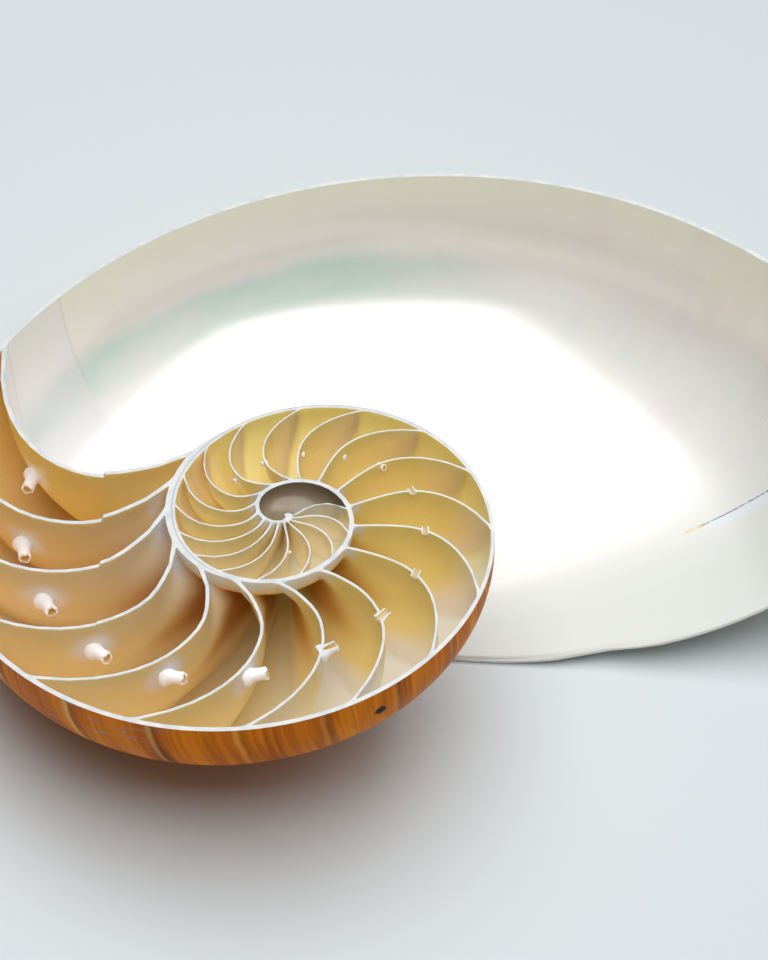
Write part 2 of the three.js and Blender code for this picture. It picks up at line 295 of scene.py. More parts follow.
# inner and outer limits of the hollow in a whorl
def hollowLimits(angle, share):
    radius = spiralRadius(angle)
    thick = wallThickness(angle, share)
    before = angle + 360
    start = section["flankStart"]
    if before > spiral["apexAngle"]:
        outer = wallPoint(angle, share, thick)
        return (outer[0] * septa["coreShare"], outer[1] * septa["coreShare"]), outer
    hornShare = lerp(start, 1, septa["hornPlace"])
    layer = dorsalLayer(angle)
    inner = wallPoint(before, share * hornShare, -layer)
    if share <= start:
        return inner, wallPoint(angle, share, thick)
    turnIn = lerp(start, 1, septa["shoulderPlace"])
    if share <= turnIn:
        flank = start + (share - start) / (turnIn - start) * (1 - start)
        return inner, wallPoint(angle, flank, thick)
    shoulder = wallPoint(angle, 1, thick)
    horn = wallPoint(before, hornShare, -septa["hornGap"] * radius - layer)
    t = (share - turnIn) / (1 - turnIn)
    return inner, (lerp(shoulder[0], horn[0], t), lerp(shoulder[1], horn[1], t))


def hollowPoint(angle, across, share):
    inner, outer = hollowLimits(angle, share)
    return lerp(inner[0], outer[0], across), lerp(inner[1], outer[1], across)


def septumFace(middle, across, share, side):
    angle = middle - dish(middle, across, share)
    inner, outer = hollowLimits(angle, share)
    x = lerp(inner[0], outer[0], across)
    width = math.hypot(outer[0] - inner[0], outer[1] - inner[1])
    rise = dish(middle, across + slopeStep, share) - dish(middle, across - slopeStep, share)
    slope = math.hypot(1, math.radians(rise) / (2 * slopeStep) * x / width)
    thick = clamp(septa["share"] * spiralRadius(angle), septa["thinnest"], septa["thickest"])
    thick = thick * min(septa["steepest"], slope)
    return angle + side * min(septa["thinAngle"], math.degrees(thick / 2 / x))


# the siphuncle's depth below the cut
def siphuncleDepth(middle):
    deep, high = necks["rise"]
    above = necks["above"] * smoothStep(middle, *necks["worn"]) * (1 - smoothStep(middle, *necks["aboveTo"]))
    young = necks["youngDepth"] * spiralRadius(middle) * smoothStep(middle, *necks["young"])
    return necks["depth"] * clamp((high - middle) / (high - deep), 0, 1) - above + young


# modelling helpers
def chooseOnly(obj):
    bpy.ops.object.select_all(action="DESELECT")
    obj.select_set(True)
    bpy.context.view_layer.objects.active = obj


def joinAll(objs):
    chooseOnly(objs[0])
    for obj in objs:
        obj.select_set(True)
    if len(objs) > 1:
        bpy.ops.object.join()
    return objs[0]


def giveFinish(obj, name):
    obj.data.materials.clear()
    for finish in finishes:
        obj.data.materials.append(bpy.data.materials.get(finish) or bpy.data.materials.new(finish))
    for face in obj.data.polygons:
        face.material_index = finishes.index(name)


def tidyMesh(obj):
    chooseOnly(obj)
    bpy.ops.object.mode_set(mode="EDIT")
    bpy.ops.mesh.select_all(action="SELECT")
    bpy.ops.mesh.remove_doubles(threshold=mesh["mergeDistance"])
    bpy.ops.mesh.normals_make_consistent(inside=False)
    bpy.ops.object.mode_set(mode="OBJECT")


# a block of across x along x around cells, extruded from a grid, each corner then set in its place;
# coil marks a corner's turn, place across the whorl and share of the section, halo its nearness to a neck
def shapedBlock(name, across, along, around, place, finish):
    bpy.ops.object.select_all(action="DESELECT")
    bpy.ops.mesh.primitive_grid_add(x_subdivisions=across, y_subdivisions=along, size=1, location=(0, 0, 0))
    obj = bpy.context.object
    obj.name = name
    bpy.ops.object.mode_set(mode="EDIT")
    bpy.ops.mesh.select_all(action="SELECT")
    for i in range(around):
        bpy.ops.mesh.extrude_region_move(TRANSFORM_OT_translate={"value": (0, 0, 1 / around)})
    bpy.ops.object.mode_set(mode="OBJECT")
    marks = {"coil": [], "halo": []}
    for vertex in obj.data.vertices:
        vertex.co, coil, halo = place(vertex.co.x + 0.5, vertex.co.y + 0.5, vertex.co.z)
        marks["coil"].append(coil)
        marks["halo"].append((halo, 0, 0))
    for mark, values in marks.items():
        made = obj.data.attributes.new(mark, "FLOAT_VECTOR", "CORNER")
        for loop in obj.data.loops:
            made.data[loop.index].vector = values[loop.vertex_index]
    tidyMesh(obj)
    giveFinish(obj, finish)
    return obj


def combine(base, tool, operation):
    chooseOnly(base)
    change = base.modifiers.new(operation.lower(), "BOOLEAN")
    change.operation = operation
    change.object = tool
    change.solver = "MANIFOLD"
    bpy.ops.object.modifier_apply(modifier=change.name)
    bpy.data.objects.remove(tool)


# an even grid value taken to a place along an edge with rounded ends, which take their own cells
def spread(value, low, high, cells, lowCells, highCells):
    step = clamp(value, 0, 1) * cells
    if lowCells and step < lowCells:
        return low * step / lowCells
    if highCells and step > cells - highCells:
        return 1 - high * (cells - step) / highCells
    return lerp(low, 1 - high, (step - lowCells) / (cells - lowCells - highCells))


# outer form of a stretch of the last whorl, filled in to the axis
def filledWhorl(start, end):
    rows = mesh["sectionSteps"] + mesh["pitSteps"] + 1
    turns = round((end - start) / mesh["wallStep"])
    rimCells = mesh["lipRings"] if start == 0 else 0
    lead = 0 if start == 0 else 1
    middle = (start + end) / 2
    floor = section["pitDepth"] * section["whorlHalfWidth"] * spiralRadius(middle)

    def place(fill, row, turn):
        inset = 0
        if rimCells:
            turn = spread(turn, mesh["lipBand"] / (end - start), 0, turns + rimCells, rimCells, 0)
        angle = lerp(start, end, turn)
        if lead:
            ring = round(turn * (turns + lead)) - lead
            angle = lerp(start, end, max(0, ring) / turns)
        if lead and ring < 0:
            angle -= mesh["leadAngle"]
            inset = mesh["leadInset"]
        step = round(row * rows) - 1
        share = clamp(step / mesh["sectionSteps"], 0, 1)
        pushed = angle - lipPush(angle, share)
        x, y = wallPoint(pushed, share, inset if lead else lipRounding(pushed, share))
        if step > mesh["sectionSteps"]:
            turnIn = (step - mesh["sectionSteps"]) / mesh["pitSteps"] * math.pi / 2
            radius = spiralRadius(angle)
            x = radius * lerp(section["pitRadius"], section["shoulderRadius"], math.cos(turnIn))
            y = lerp(y, y / section["shoulderDepth"] * section["pitDepth"], math.sin(turnIn))
        if step < 0:
            y = -saw["margin"]
        if fill < 0.5:
            return Vector((0, 0, lerp(saw["margin"], -floor, row))), (angle / 360, 0, share), 0
        return shellPoint(pushed, x, y), (angle / 360, 1, share), 0

    return shapedBlock("whorl", 1, rows, turns + rimCells + lead, place, "outside")


# takes a spot on the edge of a unit square to the same edge with its corners rounded off
def roundCorner(a, k, sizeA, lowK, highK):
    sizeK = lowK if k < 0.5 else highK
    if sizeA <= 0 or sizeK <= 0:
        return a, k
    edgeA = min(a, 1 - a)
    edgeK = min(k, 1 - k)
    if edgeK < 1e-6 and edgeA < sizeA:
        turn = math.pi / 4 * (1 - edgeA / sizeA)
        newA = sizeA * (1 - math.sin(turn))
        newK = sizeK * (1 - math.cos(turn))
    elif edgeA < 1e-6 and edgeK < sizeK:
        turn = math.pi / 4 * (1 - edgeK / sizeK)
        newK = sizeK * (1 - math.sin(turn))
        newA = sizeA * (1 - math.cos(turn))
    else:
        return a, k
    return (newA if a < 0.5 else 1 - newA), (newK if k < 0.5 else 1 - newK)


# hollow between a front and a back surface, each giving an angle at a place across and along the section
def hollow(name, front, back, grid, finish, neckBase=None, roundFront=True, roundBack=True):
    across, along, around = grid
    roundCells = septa["filletCells"]

    def place(a, s, k):
        column = round(s * (along + 1))
        even = max(0, column - 1) / along
        share = lerp(even, even * even, septa["crowding"]) if neckBase else even
        ahead = front(0.5, share)
        behind = back(0.5, share)
        inner, outer = hollowLimits((ahead + behind) / 2, share)
        depth = math.hypot(outer[0] - inner[0], outer[1] - inner[1])
        fillet = septa["fillet"] * min(1, spiralRadius(ahead) / septa["filletRadius"])
        lowA = min(septa["mostAcross"], fillet / depth)
        a = spread(a, lowA, lowA, across, roundCells, roundCells)
        gap = math.radians(behind - ahead) * max(0.3, lerp(inner[0], outer[0], a))
        lowK = min(septa["mostAlong"], fillet / gap) if roundFront else mouth["rimShare"]
        highK = min(septa["mostAlong"], fillet / gap) if roundBack else 0
        frontCells = roundCells if roundFront else mouth["rimCells"]
        backCells = roundCells if roundBack else 0
        k = spread(k, lowK, highK, around, frontCells, backCells)
        a, k = roundCorner(a, k, lowA, lowK if roundFront else 0, highK)
        angle = lerp(front(a, share), back(a, share), k)
        x, y = hollowPoint(angle, a, share)
        if not roundFront and k < 1e-6:
            x += mouth["clearance"] * (1 - a)
            y += mouth["clearance"] * (1 - a)
        spot = shellPoint(angle, x, y)
        halo = 0
        if neckBase and neckBase[1] and k < 0.5:
            nearness = 1 - (spot - neckBase[0]).length / (necks["halo"] * neckBase[1])
            halo = clamp(nearness, 0, 1)
        if column == 0:
            spot.z = saw["margin"]
        return spot, (angle / 360, a, share), halo

    return shapedBlock(name, across, along + 1, around, place, finish)


# where the body chamber's hollow ends, in front of the lip
def mouthAngle(across, share):
    inner = (1 - across) * max(0, 1 - share / mouth["innerShare"])
    return -lipPush(0, share) - mouth["margin"] - mouth["innerMargin"] * inner


def allHollows(angles):
    made = [hollow("bodyChamber",
                   mouthAngle,
                   lambda a, s: septumFace(angles[0], a, s, -1),
                   mesh["body"], "nacre", roundFront=False)]
    for ahead, behind in zip(angles, angles[1:]):
        grid = mesh["fine"] if spiralRadius(ahead) > mesh["fineRadius"] else mesh["coarse"]
        made.append(hollow("chamber",
                           lambda a, s: septumFace(ahead, a, s, 1),
                           lambda a, s: septumFace(behind, a, s, -1),
                           grid, "amber", (neckPoint(ahead), neckSize(ahead))))
    made.append(hollow("firstChamber",
                       lambda a, s: septumFace(angles[-1], a, s, 1),
                       lambda a, s: septa["tipAngle"],
                       mesh["tip"], "firstChamber", roundBack=False))
    return joinAll(made)


def neckPoint(middle):
    grownPlace = lerp(necks["lastPlace"], necks["place"], smoothStep(middle, *necks["lastShift"]))
    place = lerp(grownPlace, necks["youngPlace"], smoothStep(middle, *necks["shift"]))
    angle = middle - dish(middle, place, 0)
    return shellPoint(angle, hollowPoint(angle, place, 0)[0], siphuncleDepth(middle))


def neckSize(middle):
    if necks["lost"][0] < middle < necks["lost"][1] or spiralRadius(middle) < necks["smallest"]:
        return 0
    worn = lerp(1, necks["wornSize"], smoothStep(middle, *necks["worn"]))
    return worn * min(1, necks["share"] * spiralRadius(middle) / necks["radius"])


# a turned tube: outline of (radius, length) pairs spun about Z, then stood along the coil
def turned(name, outline, sides, finish, pose, ragged=(99, 0)):
    bpy.ops.object.select_all(action="DESELECT")
    bpy.ops.mesh.primitive_circle_add(vertices=sides, radius=outline[0][0], fill_type="NGON")
    obj = bpy.context.object
    obj.name = name
    bpy.ops.object.mode_set(mode="EDIT")
    bpy.ops.mesh.select_all(action="SELECT")
    for (r0, z0), (r1, z1) in zip(outline, outline[1:]):
        bpy.ops.mesh.extrude_region_move(TRANSFORM_OT_translate={"value": (0, 0, z1 - z0)})
        bpy.ops.transform.resize(value=(r1 / r0, r1 / r0, 1), center_override=(0, 0, z1 - outline[0][1]))
    bpy.ops.object.mode_set(mode="OBJECT")
    for vertex in obj.data.vertices:
        if vertex.co.z > ragged[0]:
            turn = math.atan2(vertex.co.y, vertex.co.x)
            wave = math.sin(2 * turn + pose[0][3]) + 0.7 * math.sin(5 * turn + pose[1][3])
            vertex.co.z += ragged[1] * wave
    obj.data.transform(pose @ Matrix.Translation((0, 0, outline[0][1])))
    for mark in ("coil", "halo"):
        obj.data.attributes.new(mark, "FLOAT_VECTOR", "CORNER")
    tidyMesh(obj)
    giveFinish(obj, finish)
    return obj


def allNecks(angles):
    tubes = []
    bores = []
    for middle in angles:
        size = neckSize(middle)
        if not size:
            continue
        worn = smoothStep(middle, *necks["worn"])
        root = lerp(necks["root"], necks["wornRoot"], worn)
        flare = lerp(necks["flare"], necks["radius"] * 1.1, worn)
        length = necks["length"] * lerp(1, necks["wornLength"], worn)
        flareLength = min(necks["flareLength"], length * 0.6)
        base = neckPoint(middle)
        backward = (neckPoint(middle + 1) - base).normalized()
        pose = (Matrix.Translation(base) @ backward.to_track_quat("Z", "Y").to_matrix().to_4x4()
                @ Matrix.Scale(size, 4))
        # radius and place along the neck
        outline = [
            (flare, -root), (flare, necks["root"] * 0.6),
            (lerp(flare, necks["radius"], 0.7), flareLength * 0.6), (necks["radius"] * 1.05, flareLength),
            (necks["radius"], length * 0.75), (necks["radius"] * 1.06, length),
            (necks["bore"] * 1.15, length + 0.08),
        ]
        ends = (length + root - 0.1, necks["ragged"] * (1 - 0.9 * worn))
        tubes.append(turned("neck", outline, necks["sides"], "neck", pose, ends))
        drill = [(necks["bore"], -2.5), (necks["bore"], length - 0.3), (necks["bore"] * 1.12, length + 1)]
        bores.append(turned("bore", drill, necks["sides"], "amber", pose))
    return joinAll(tubes), joinAll(bores)


# the saw's kerf: all that is above the cut, and a shallow step that it left on one side
def sawBlocks():
    span = saw["span"]
    bpy.ops.object.select_all(action="DESELECT")
    bpy.ops.mesh.primitive_cube_add(size=span, location=(0, 0, span / 2))
    block = bpy.context.object
    block.name = "kerf"
    bpy.ops.object.transform_apply(location=True)
    giveFinish(block, "sawn")
    skewPower, roundPower = saw["stepShape"]

    def place(a, s, k):
        y = lerp(saw["stepFrom"], saw["stepTo"], s)
        fall = saw["stepDepth"] * math.sin(math.pi * s ** skewPower) ** roundPower + 0.01
        edge = saw["stepAt"] - saw["stepSkew"] * (saw["stepSkewAt"] - s)
        x = lerp(saw["stepEnd"], edge + saw["stepRise"] * k, a)
        return Vector((x, y, lerp(-fall, 1, k))), (0, 0, 0), 0

    return block, shapedBlock("step", 1, 24, 1, place, "sawn")


def makeShell():
    angles = septumAngles()
    shell = filledWhorl(0, 180)
    combine(shell, filledWhorl(180, 400), "UNION")
    print("outer form", len(shell.data.polygons))
    combine(shell, allHollows(angles), "DIFFERENCE")
    print("chambers hollowed", len(angles), "septa", len(shell.data.polygons))
    tubes, bores = allNecks(angles)
    combine(shell, tubes, "UNION")
    combine(shell, bores, "DIFFERENCE")
    print("necks added", len(shell.data.polygons))
    kerf, step = sawBlocks()
    combine(shell, kerf, "DIFFERENCE")
    combine(shell, step, "DIFFERENCE")
    shell.name = "shellHalf"
    shell.data.name = "shellHalf"
    shell.data.transform(shellToWorld)
    chooseOnly(shell)
    bpy.ops.object.shade_smooth_by_angle(angle=math.radians(mesh["smoothAngle"]))
    print("shell sawn", len(shell.data.polygons))
    return shell


shell = makeShell()
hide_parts("shell_half")
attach(shell, "root")


# shader maths: a socket that takes Python operators
class Wire:
    def __init__(self, tree, socket):
        self.tree = tree
        self.socket = socket

    def node(self, kind, settings, inputs, out=0):
        made = self.tree.nodes.new("ShaderNode" + kind)
        for name, value in settings.items():
            setattr(made, name, value)
        for key, value in inputs.items():
            if isinstance(value, Wire):
                self.tree.links.new(value.socket, made.inputs[key])
            else:
                made.inputs[key].default_value = value
        return Wire(self.tree, made.outputs[out])

    def math(self, operation, first, second=0.0):
        return self.node("Math", {"operation": operation}, {0: first, 1: second})

    def __add__(self, other):
        return self.math("ADD", self, other)

    def __radd__(self, other):
        return self.math("ADD", other, self)

    def __sub__(self, other):
        return self.math("SUBTRACT", self, other)

    def __rsub__(self, other):
        return self.math("SUBTRACT", other, self)

    def __mul__(self, other):
        return self.math("MULTIPLY", self, other)

    def __rmul__(self, other):
        return self.math("MULTIPLY", other, self)

    def __truediv__(self, other):
        return self.math("DIVIDE", self, other)

    def __abs__(self):
        return self.math("ABSOLUTE", self)

    # 0 up to low and 1 from high on; turned round where low is above high
    def between(self, low, high):
        return self.node("MapRange", {"interpolation_type": "SMOOTHSTEP"},
                         {"Value": self, "From Min": low, "From Max": high})

    def near(self, middle, width):
        return abs(self - middle).between(width, width * 0.3)


def paint(code):
    levels = [int(code[i:i + 2], 16) / 255 for i in (1, 3, 5)]
    return tuple(v / 12.92 if v < 0.04045 else ((v + 0.055) / 1.055) ** 2.4 for v in levels) + (1.0,)


def mixColour(factor, first, second, blend="MIX"):
    maker = next(value for value in (factor, first, second) if isinstance(value, Wire))
    return maker.node("Mix", {"data_type": "RGBA", "blend_type": blend},
                      {0: factor, 6: first, 7: second}, out=2)


def shades(value, stops):
    made = value.node("ValToRGB", {}, {0: value})
    ramp = made.socket.node.color_ramp.elements
    while len(ramp) < len(stops):
        ramp.new(0.5)
    for element, (spot, code) in zip(ramp, stops):
        element.position = spot
        element.color = paint(code)
    return made


def noise(spot, scale, detail=3.0, rough=0.5):
    return spot.node("TexNoise", {}, {"Vector": spot, "Scale": scale, "Detail": detail, "Roughness": rough})


def parts(vector):
    return [vector.node("SeparateXYZ", {}, {0: vector}, out=i) for i in range(3)]


def join(x, y, z):
    maker = next(value for value in (x, y, z) if isinstance(value, Wire))
    return maker.node("CombineXYZ", {}, {0: x, 1: y, 2: z})


def startFinish(name, constants):
    material = bpy.data.materials[name]
    material.use_nodes = True
    shader = material.node_tree.nodes["Principled BSDF"]
    for key, value in constants.items():
        shader.inputs[key].default_value = value
    return shader, Wire(material.node_tree, None)


def mark(start, name):
    return parts(start.node("Attribute", {"attribute_name": name}, {}, out=1))


def objectSpot(start):
    return start.node("TexCoord", {}, {}, out=3)


def feed(wire, shader, name):
    wire.tree.links.new(wire.socket, shader.inputs[name])


def bump(height, strength, distance):
    return height.node("Bump", {}, {"Height": height, "Strength": strength, "Distance": distance})


# in the looks, a pair of numbers is where a tint starts and where it is full, or its middle and half width
# orange-brown outside, banded along the growth lines, paler towards the mouth
outsideLook = {
    "tones": [(0.3, "#823C00"), (0.44, "#C66400"), (0.57, "#F28A00"), (0.72, "#FCB024")],
    "restSpacing": 21.05,    # pale growth rests in a turn
    "restShift": 0.473,
    "restAt": (0.25, 0.045),
    "restEdgeAt": (0.33, 0.08),
    "restFade": (0.71, 0.67),
    "restTone": "#EFC67C",
    "restEdge": "#6A2E06",
    "lean": 0.014,           # the lines run back down the flank, turns
    "mouthTone": "#F6F3EC",
    "mouthTurn": (0.05, 0.005),
    "creamTone": "#E2C79C",
    "creamTurn": (0.5, 0.12),
    "scuffTone": "#9C9AA6",
    "scuffTurn": (0.62, 0.06),
    "scuffShare": (0.3, 0.1),
    "scuffLevel": (0.545, 0.63),
    "blotTone": "#23211F",
    "blotTurn": 0.7862,
    "blotShare": 0.074,
}


def finishOutside():
    look = outsideLook
    shader, start = startFinish("outside", {"Roughness": 0.4, "Specular IOR Level": 0.05})
    turn, across, share = mark(start, "coil")
    wander = noise(join(turn * 9, share * 4, across), 1.0, 2.0)
    lines = turn - share * look["lean"] + (wander - 0.5) * 0.006
    broad = noise(join(lines * 42, share * 1.1, across), 1.0, 3.0, 0.55)
    fine = noise(join(lines * 320, share * 2.2, across), 1.0, 3.0, 0.6)
    tone = shades(broad * 0.62 + fine * 0.38, look["tones"])
    rest = turn.math("FRACT", lines * look["restSpacing"] + look["restShift"])
    tone = mixColour(rest.near(*look["restEdgeAt"]) * 0.35, tone, paint(look["restEdge"]))
    plain = (broad * 0.8 + 0.2) * (turn.between(*look["restFade"]) * 0.7 + 0.3)
    tone = mixColour(rest.near(*look["restAt"]) * plain, tone, paint(look["restTone"]))
    cream = turn.between(*look["creamTurn"]) * (0.75 + 0.5 * broad)
    tone = mixColour(cream, tone, paint(look["creamTone"]))
    tone = mixColour(turn.between(*look["mouthTurn"]), tone, paint(look["mouthTone"]))
    scratches = noise(join(turn * 60, share * 75, across), 1.0, 4.0, 0.7)
    worn = turn.near(*look["scuffTurn"]) * share.between(*look["scuffShare"])
    worn = worn * scratches.between(*look["scuffLevel"])
    tone = mixColour(worn * 0.7, tone, paint(look["scuffTone"]))
    blot = join((turn - look["blotTurn"]) * 200, (share - look["blotShare"]) * 42, 0)
    size = blot.node("VectorMath", {"operation": "LENGTH"}, {0: blot}, out=1) + (scratches - 0.5) * 1.2
    tone = mixColour(size.between(1.0, 0.6), tone, paint(look["blotTone"]))
    feed(tone, shader, "Base Color")
    feed(bump(fine * 0.5 + scratches * 0.5, 0.25, 0.0003), shader, "Normal")


# mother-of-pearl of the body chamber, greyed towards the lip by painted shade
nacreLook = {
    "bands": [(0.0, "#FCFAE6"), (0.09, "#FEF6EA"), (0.17, "#FBF5EE"), (0.25, "#FAF9F4"), (0.34, "#FAF9F5"),
              (0.7, "#F6F5F0")],
    "cyan": "#CFE9DD",
    "cyanBand": (0.215, 0.075),
    "cyanTurn": (0.13, 0.22),
    "tints": [(0.34, "#F8E8F0"), (0.46, "#FFFFFF"), (0.56, "#FFFCF0"), (0.68, "#EAF3F4")],
    "layerEdge": 0.3285,     # an earlier layer of pearl ends here, turns
    "layerTone": "#F3F0F1",
    "layerLine": "#A89C90",
    "scratchTurn": 0.0257,   # a fine scratch near the lip
    "scratchSlope": 0.015,
    "scratchFrom": 0.33,
    "scratchTo": 0.487,
    "scratchTone": "#565F78",
    "ochre": "#EBC48C",
    "chalk": "#DDE8F2",
    # painted shade: the pearl turns darker grey towards the lip
    "lipShadeTone": "#D2D5D0",
    "lipShadeTurn": (0.075, 0.01),
    "smearShare": (0.452, 0.46),
}


def finishNacre():
    look = nacreLook
    shader, start = startFinish("nacre", {"Coat Weight": 0.3, "Coat Roughness": 0.12})
    turn, across, share = mark(start, "coil")
    cloud = noise(join(turn * 16, share * 6, across), 1.0, 3.0)
    band = share + (cloud - 0.5) * 0.1
    tone = shades(band, look["bands"])
    sheen = band.near(*look["cyanBand"]) * turn.between(*look["cyanTurn"]) * cloud.between(0.2, 0.6)
    tone = mixColour(sheen * 0.8, tone, paint(look["cyan"]))
    streak = noise(join(turn * 60, share * 4, across), 1.0, 3.0, 0.55)
    tone = mixColour(turn.between(0.17, 0.06) * 0.25 + 0.1, tone, shades(streak, look["tints"]), "MULTIPLY")
    tone = mixColour(turn.between(0.3278, 0.3292) * 0.6, tone, paint(look["layerTone"]))
    layerLine = turn.near(look["layerEdge"], 0.0009) * share.between(0.3, 0.2)
    tone = mixColour(layerLine * 0.13, tone, paint(look["layerLine"]))
    # painted shade: darker grey over the last stretch before the lip
    tone = mixColour(turn.between(*look["lipShadeTurn"]) * 0.9, tone, paint(look["lipShadeTone"]))
    line = turn - share * look["scratchSlope"] + (streak - 0.5) * 0.0012
    along = share.between(look["scratchFrom"], look["scratchFrom"] + 0.02)
    broken = noise(join(share * 160, turn * 30, 0.5), 1.0, 2.0).between(0.3, 0.55)
    smear = line.near(look["scratchTurn"], 0.0011) * share.between(*look["smearShare"])
    smear = smear * share.between(look["scratchTo"], look["scratchTo"] - 0.01)
    tone = mixColour(smear * (broken * 0.5 + 0.3), tone, paint(look["ochre"]))
    chalk = line.between(look["scratchTurn"] - 0.006, look["scratchTurn"] - 0.001)
    chalk = chalk * line.between(look["scratchTurn"] + 0.0004, look["scratchTurn"])
    tone = mixColour(chalk * along * share.between(0.46, 0.44) * 0.6, tone, paint(look["chalk"]))
    fine = line.near(look["scratchTurn"], 0.0004) * along * share.between(0.462, 0.455)
    tone = mixColour(fine * (broken * 0.6 + 0.25), tone, paint(look["scratchTone"]))
    feed(tone, shader, "Base Color")
    feed(0.14 - turn.between(0.07, 0.0) * 0.08, shader, "Metallic")
    feed(0.22 + turn.between(0.07, 0.01) * 0.22, shader, "Roughness")
    ripple = noise(join(turn * 34 + (cloud - 0.5) * 0.6, share * 2.5, across), 1.0, 1.0)
    feed(bump(ripple, turn.between(0.12, 0.02) * 0.2 + 0.03, 0.0016), shader, "Normal")


# honey-coloured chambers, milky where a septum meets the inner whorl and round each neck, with painted shade
# in their deep corners
amberLook = {
    "ages": [(0.0, "#F9CC90"), (0.06, "#FADABA"), (0.13, "#FBDCB0"), (0.22, "#FEDE9E"), (0.33, "#FFDE8C"),
             (0.5, "#FBDA90"), (0.7, "#F8DFAC"), (1.0, "#F4E5C4")],
    "firstTurn": 0.4,
    "turns": 1.8,
    "shade": "#EDC07C",
    # painted shade: dark brown laid into the chambers' deep corners, far below the cut and towards the inner
    # whorl
    "deep": "#A87008",
    "deepShadeShare": (0.22, 0.55),
    "deepShadeAcross": (0.7, 0.3),
    "outerWall": "#FFF6EA",
    "paleAcross": (0.7, 0.94),
    "paleTurn": (0.66, 0.8),
    "milky": "#E3E8E8",
    "milkyAcross": (0.12, 0.03),
    "milkyShare": (0.34, 0.06),
    "halo": "#FFFEFC",
    "olive": "#D8CE86",
}


def finishAmber():
    look = amberLook
    shader, start = startFinish("amber", {
        "Roughness": 0.36, "Coat Weight": 0.1, "Subsurface Weight": 0.8,
        "Subsurface Radius": (1.0, 0.7, 0.35), "Subsurface Scale": 0.004})
    turn, across, share = mark(start, "coil")
    halo = mark(start, "halo")[0]
    cloud = noise(join(turn * 26, across * 3, share * 4), 1.0, 3.0)
    tone = shades((turn - look["firstTurn"]) / look["turns"], look["ages"])
    tone = mixColour(cloud.between(0.4, 0.75) * 0.35, tone, paint(look["shade"]))
    # painted shade: the outer whorl's chambers darken far below the cut, towards the inner whorl
    deep = share.between(*look["deepShadeShare"]) * across.between(*look["deepShadeAcross"])
    tone = mixColour(deep * turn.between(1.1, 0.9) * 0.8, tone, paint(look["deep"]))
    pale = across.between(*look["paleAcross"]) * turn.between(*look["paleTurn"])
    pale = pale * (turn.between(1.02, 0.9) * 0.7 + 0.2)
    tone = mixColour(pale, tone, paint(look["outerWall"]))
    streak = noise(join(turn * 46, across * 0.7, 0.5), 1.0, 2.0)
    olive = streak.between(0.55, 0.66) * across.between(0.55, 0.9) * turn.between(1.15, 1.3)
    tone = mixColour(olive * 0.5, tone, paint(look["olive"]))
    fold = noise(join(turn * 40, across * 30, share * 2), 1.0, 3.0)
    milky = (across + (fold - 0.5) * 0.07).between(*look["milkyAcross"])
    milky = milky * share.between(*look["milkyShare"])
    milky = milky * turn.between(2.3, 1.6) * turn.between(0.4, 0.46)
    tone = mixColour(milky, tone, paint(look["milky"]))
    tone = mixColour(halo.between(0.0, 0.65), tone, paint(look["halo"]))
    feed(tone, shader, "Base Color")


# the first chamber, dusky and half glossy
firstLook = {"tones": ("#8C805E", "#969872"), "rim": "#876A5E"}


def finishFirst():
    look = firstLook
    shader, start = startFinish("firstChamber", {"Roughness": 0.3, "Coat Weight": 0.2})
    turn, across, share = mark(start, "coil")
    cloud = noise(join(turn * 14, across * 3, share * 3), 1.0, 3.0)
    tone = mixColour(cloud.between(0.35, 0.65), *map(paint, look["tones"]))
    feed(mixColour(across.between(0.7, 1.0) * 0.6, tone, paint(look["rim"])), shader, "Base Color")


# sawn edges: a grey seam runs along the coil between a whorl's wall and the pearl laid over it
sawnLook = {
    "tones": ("#ECEDEA", "#D5DCE0"),
    "seam": "#8D9AA8",
    "seamWidth": (0.2, 0.06),    # mm
    "seamFrom": (360.0, 400.0),
    "seamTo": (600.0, 560.0),
}


def finishSawn():
    look = sawnLook
    shader, start = startFinish("sawn", {"Roughness": 0.45})
    spot = objectSpot(start)
    fromPole = spot.node("VectorMath", {"operation": "SUBTRACT"}, {0: spot, 1: pole})
    right = lean @ Vector((metre, 0, 0))
    ahead = lean @ Vector((0, metre, 0))
    x = spot.node("VectorMath", {"operation": "DOT_PRODUCT"}, {0: fromPole, 1: right}, out=1)
    y = spot.node("VectorMath", {"operation": "DOT_PRODUCT"}, {0: fromPole, 1: ahead}, out=1)
    distance = x.math("SQRT", x * x + y * y)
    bearing = x.math("ARCTAN2", y, x) * (180 / math.pi) - spiral["mouthDirection"]
    back = x.math("LOGARITHM", distance / spiral["mouthRadius"], math.e) / -growth
    turns = (back - bearing) / 360
    off = turns - x.math("ROUND", turns)
    seam = abs(off) * distance * (growth * 360)
    cloud = noise(spot, 400.0, 3.0)
    tone = mixColour(cloud.between(0.3, 0.7), *map(paint, look["tones"]))
    line = (seam + (cloud - 0.5) * 0.15).between(*look["seamWidth"])
    line = line * back.between(*look["seamFrom"]) * back.between(*look["seamTo"])
    feed(mixColour(line * 0.45, tone, paint(look["seam"])), shader, "Base Color")


# white necks, with a faint painted glow of their own in place of light passing through them
neckLook = {"tones": ("#FFFFFF", "#F4E6D4"), "paintedGlow": (1.0, 0.98, 0.95, 1.0)}


def finishNeck():
    look = neckLook
    # painted light: a weak constant emission makes the necks glow
    shader, start = startFinish("neck", {
        "Roughness": 0.4, "Emission Color": look["paintedGlow"], "Emission Strength": 0.12})
    cloud = noise(objectSpot(start), 600.0, 3.0)
    feed(mixColour(cloud.between(0.5, 0.8) * 0.3, *map(paint, look["tones"])), shader, "Base Color")


finishOutside()
finishNacre()
finishAmber()
finishFirst()
finishSawn()
finishNeck()
print("finishes made")

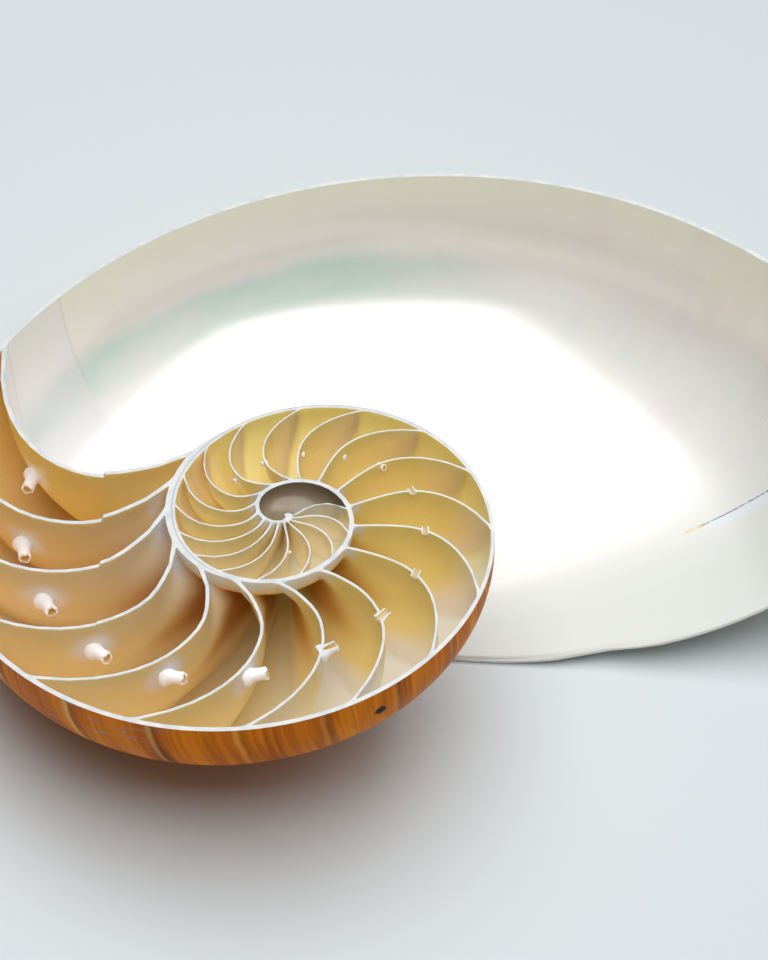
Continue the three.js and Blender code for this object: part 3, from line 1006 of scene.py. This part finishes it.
# floor
stage = {"size": 6.0, "colour": "#DBE3E6", "rough": 0.6, "sky": "#E6EDF0", "skyStrength": 0.07}
bpy.ops.object.select_all(action="DESELECT")
bpy.ops.mesh.primitive_plane_add(size=stage["size"], location=(0, 0, 0))
floor = bpy.context.object
floor.name = "floor"
floorFinish = bpy.data.materials.new("paleFloor")
floorFinish.use_nodes = True
floorShader = floorFinish.node_tree.nodes["Principled BSDF"]
floorShader.inputs["Base Color"].default_value = paint(stage["colour"])
floorShader.inputs["Roughness"].default_value = stage["rough"]
floor.data.materials.append(floorFinish)

# camera: fixed by where the pole of the coil stands in the picture and by the lean of the cut face there
view = {
    "pictureWidth": 768,
    "pictureHeight": 960,
    "polePixel": (287, 516),
    "pixelsPerMm": 6.0,
    "focalPixels": 3200,
    "sightAngle": 46.0,      # between the line of sight and the cut face
    "roll": 5.0,
    "sensorWidth": 36.0,
    "nearest": 0.01,
}


def placeCamera():
    sight = math.radians(view["sightAngle"])
    roll = math.radians(view["roll"])
    # axes of the cut face as the camera sees them: right, up, towards it
    faceX = Vector((1, 0, 0))
    faceY = Vector((0, math.sin(sight), -math.cos(sight)))
    faceN = Vector((0, math.cos(sight), math.sin(sight)))
    turnRoll = Matrix.Rotation(roll, 3, "Z")
    inCamera = Matrix((turnRoll @ faceX, turnRoll @ faceY, turnRoll @ faceN)).transposed()
    toWorld = lean.to_matrix() @ inCamera.transposed()
    distance = view["focalPixels"] / view["pixelsPerMm"] / metre
    across = (view["polePixel"][0] - view["pictureWidth"] / 2) / view["focalPixels"]
    down = (view["polePixel"][1] - view["pictureHeight"] / 2) / view["focalPixels"]
    poleSeen = Vector((across, -down, -1)) * distance
    data = bpy.data.cameras.new("camera")
    data.sensor_width = view["sensorWidth"]
    data.lens = view["focalPixels"] / view["pictureHeight"] * data.sensor_width
    data.clip_start = view["nearest"]
    camera = bpy.data.objects.new("camera", data)
    bpy.context.collection.objects.link(camera)
    camera.matrix_world = Matrix.Translation(pole - toWorld @ poleSeen) @ toWorld.to_4x4()
    bpy.context.scene.camera = camera


placeCamera()

# a large softbox overhead and a weak one in front on the left: place, aim, width, length, power
lights = [
    ("overhead", (-0.01, 0.03, 0.72), (-0.01, 0.03, 0.0), 0.77, 0.98, 7.2),
    ("frontLeft", (-0.75, -0.85, 0.6), (0.0, 0.0, 0.02), 0.5, 0.5, 0.25),
]
for name, place, aim, width, length, power in lights:
    data = bpy.data.lights.new(name, "AREA")
    data.shape = "RECTANGLE"
    data.size = width
    data.size_y = length
    data.energy = power
    lamp = bpy.data.objects.new(name, data)
    bpy.context.collection.objects.link(lamp)
    lamp.location = place
    lamp.rotation_euler = (Vector(aim) - Vector(place)).to_track_quat("-Z", "Y").to_euler()

world = bpy.data.worlds.new("studio") if not bpy.context.scene.world else bpy.context.scene.world
bpy.context.scene.world = world
world.use_nodes = True
world.node_tree.nodes["Background"].inputs[0].default_value = paint(stage["sky"])
world.node_tree.nodes["Background"].inputs[1].default_value = stage["skyStrength"]
bpy.context.scene.view_settings.view_transform = "Standard"
print("stage, camera and light set")
